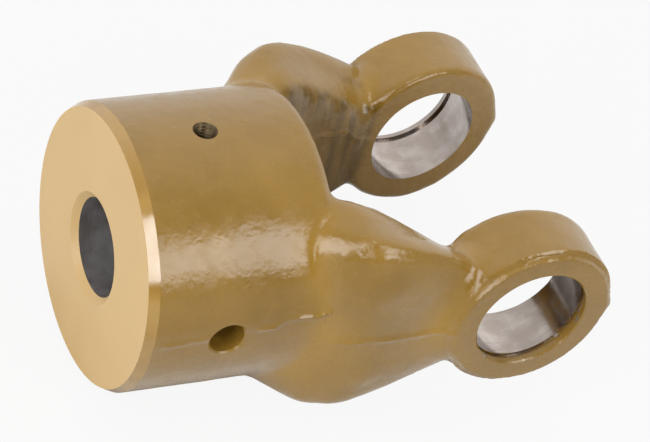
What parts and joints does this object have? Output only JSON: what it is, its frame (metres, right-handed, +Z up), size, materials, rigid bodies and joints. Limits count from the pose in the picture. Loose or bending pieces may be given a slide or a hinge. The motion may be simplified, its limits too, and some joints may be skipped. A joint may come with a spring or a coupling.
{
  "type": "forged yoke",
  "caption": "Forged fork yoke with a round-bored hub, cross-pin and set-screw holes, and two bored ears with snap-ring grooves for a universal joint cross.",
  "frame": {"origin": "joint centre, where the shaft axis crosses the axis of the ear bores", "axes": "+X along the shaft axis from the hub toward the ears, +Y along the ear bores, +Z up from the side with the set-screw hole; the hub end face points to -X"},
  "size_m": [0.127, 0.0864, 0.0724],
  "materials": {
    "forged_yoke": "gloss ochre paint over a forged skin, machined bores bare"
  },
  "bodies": {
    "root": {"forged_yoke": "forged_yoke"}
  },
  "joints": []
}
